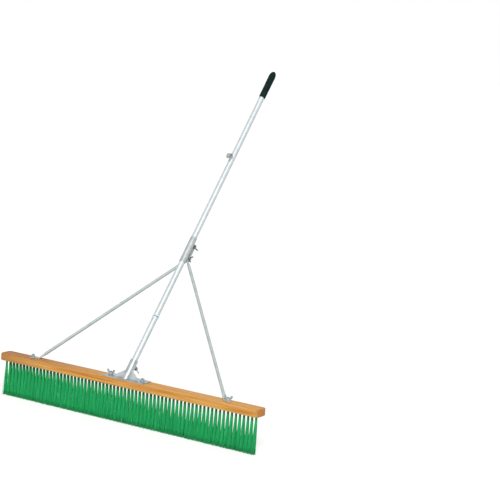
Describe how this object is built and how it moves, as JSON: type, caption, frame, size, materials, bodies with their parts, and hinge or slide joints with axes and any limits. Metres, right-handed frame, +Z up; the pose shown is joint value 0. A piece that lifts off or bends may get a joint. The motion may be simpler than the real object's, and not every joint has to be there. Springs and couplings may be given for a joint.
{
  "type": "tennis court brush",
  "caption": "Court drag brush: wooden head with rows of green bristle tufts, inclined tube pole in a socket bracket, braced by stays, with clamp, wing fasteners, hook and grip.",
  "frame": {"origin": "on the floor, under the middle of the whole brush", "axes": "+X along the head, to the left of a person who holds the pole and faces the head; +Y towards that person, the way the pole leans; +Z up"},
  "size_m": [1.2, 0.9126, 1.2937],
  "materials": {
    "wood": "clear-varnished hardwood",
    "bristle": "green monofilament, slightly glossy",
    "zinc_steel": "bright zinc plate",
    "grey_steel": "dull grey zinc plate",
    "dark_steel": "dark passivated zinc",
    "aluminium": "satin anodised tube",
    "tape": "thin pale film",
    "vinyl": "dipped vinyl, near black with a green tone"
  },
  "bodies": {
    "head_frame": {"head_board": "wood", "bristles_front_left": "bristle", "bristles_front_right": "bristle", "bristles_back_left": "bristle", "bristles_back_right": "bristle", "base_plate": "zinc_steel", "socket_tube": "zinc_steel", "left_gusset": "zinc_steel", "right_gusset": "zinc_steel", "lower_tube": "aluminium", "tape_band": "tape", "coupling_clamp": "grey_steel", "socket_weld_nut": "grey_steel", "lower_clamp_bolt": "zinc_steel", "upper_clamp_bolt": "zinc_steel", "upper_clamp_washer": "zinc_steel", "left_stay": "aluminium", "right_stay": "aluminium", "left_plate_bolt": "zinc_steel", "left_plate_washer": "zinc_steel", "right_plate_bolt": "zinc_steel", "right_plate_washer": "zinc_steel", "left_foot_bolt": "zinc_steel", "left_foot_washer": "zinc_steel", "right_foot_bolt": "zinc_steel", "right_foot_washer": "zinc_steel"},
    "upper_pole": {"upper_tube": "aluminium", "hanging_hook": "grey_steel", "hook_rivet": "zinc_steel", "grip": "vinyl"},
    "left_plate_nut": {"left_plate_wing_nut": "zinc_steel"},
    "right_plate_nut": {"right_plate_wing_nut": "zinc_steel"},
    "left_foot_nut": {"left_foot_wing_nut": "zinc_steel"},
    "right_foot_nut": {"right_foot_wing_nut": "zinc_steel"},
    "lower_clamp_nut": {"lower_clamp_wing_nut": "dark_steel"},
    "upper_clamp_nut": {"upper_clamp_wing_nut": "dark_steel"},
    "socket_bolt": {"socket_wing_bolt": "zinc_steel"}
  },
  "joints": [
    {"name": "upper_pole_slide", "type": "slide", "parent": "head_frame", "child": "upper_pole", "axis": [0, 0.6184, 0.7859], "range_m": [0, 0.05]},
    {"name": "left_plate_nut_turn", "type": "hinge", "parent": "head_frame", "child": "left_plate_nut", "pos_m": [-0.074, -0.4263, 0.1727], "axis": [0, 0, 1], "continuous": true},
    {"name": "right_plate_nut_turn", "type": "hinge", "parent": "head_frame", "child": "right_plate_nut", "pos_m": [0.074, -0.4263, 0.1727], "axis": [0, 0, 1], "continuous": true},
    {"name": "left_foot_nut_turn", "type": "hinge", "parent": "head_frame", "child": "left_foot_nut", "pos_m": [-0.455, -0.4263, 0.1723], "axis": [0, 0, 1], "continuous": true},
    {"name": "right_foot_nut_turn", "type": "hinge", "parent": "head_frame", "child": "right_foot_nut", "pos_m": [0.455, -0.4263, 0.1723], "axis": [0, 0, 1], "continuous": true},
    {"name": "lower_clamp_nut_turn", "type": "hinge", "parent": "head_frame", "child": "lower_clamp_nut", "pos_m": [0.0062, -0.07828, 0.58064], "axis": [1, 0, 0], "continuous": true},
    {"name": "upper_clamp_nut_turn", "type": "hinge", "parent": "head_frame", "child": "upper_clamp_nut", "pos_m": [0.0046, -0.04613, 0.6215], "axis": [1, 0, 0], "continuous": true},
    {"name": "socket_bolt_turn", "type": "hinge", "parent": "head_frame", "child": "socket_bolt", "pos_m": [0, -0.37516, 0.19837], "axis": [0, 0.7859, -0.6184], "continuous": true}
  ]
}
